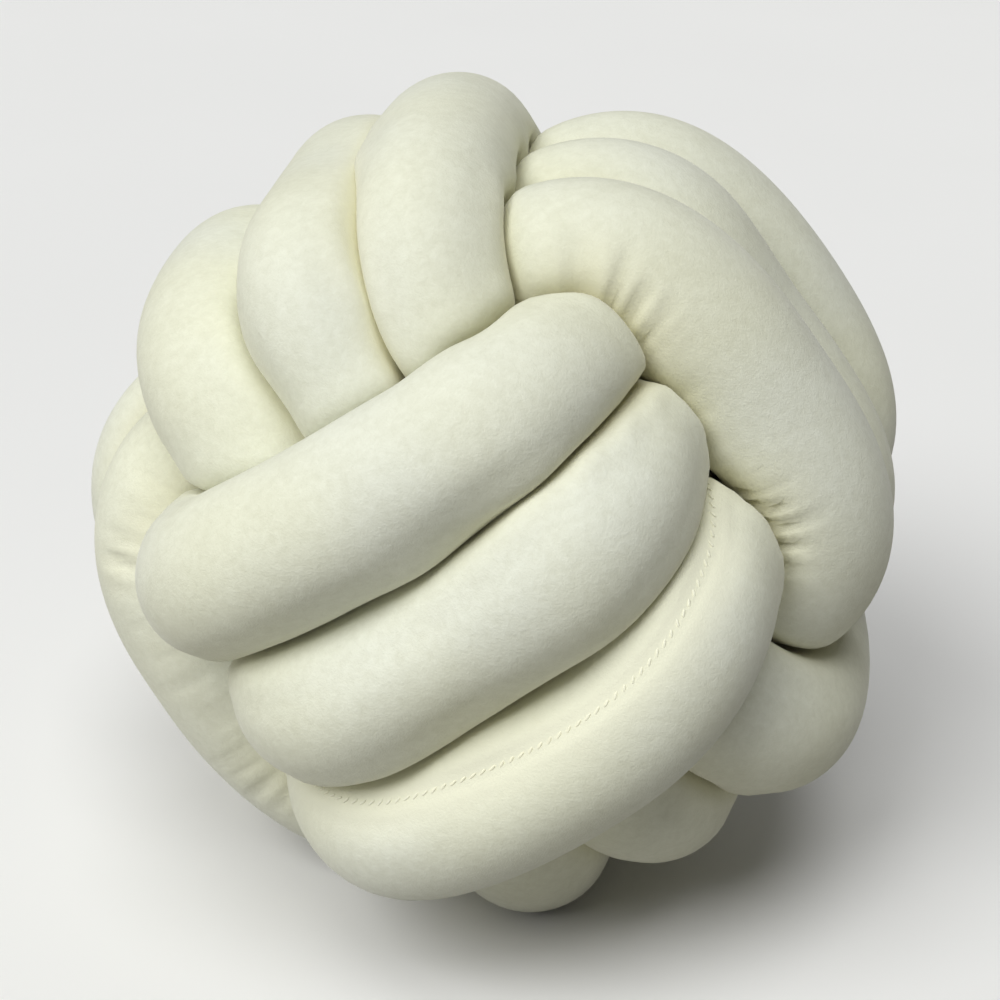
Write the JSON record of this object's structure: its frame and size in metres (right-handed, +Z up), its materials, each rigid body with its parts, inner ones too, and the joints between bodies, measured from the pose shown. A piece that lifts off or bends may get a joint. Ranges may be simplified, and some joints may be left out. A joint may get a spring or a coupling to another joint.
{
  "type": "knot cushion",
  "caption": "Ball-shaped knot cushion: one long stuffed cloth tube wound over and under itself in three directions, with a small flat spot where it lies.",
  "frame": {"origin": "centre of the cushion's outline on the plane it lies on", "axes": "+Z up from the plane it lies on; -Y towards the face with three slanting runs; +X to the right of that face"},
  "size_m": [0.29, 0.2946, 0.2752],
  "materials": {
    "ivory_velvet": "short soft pile, dull, ivory"
  },
  "bodies": {
    "root": {"knot_tube": "ivory_velvet"}
  },
  "joints": []
}
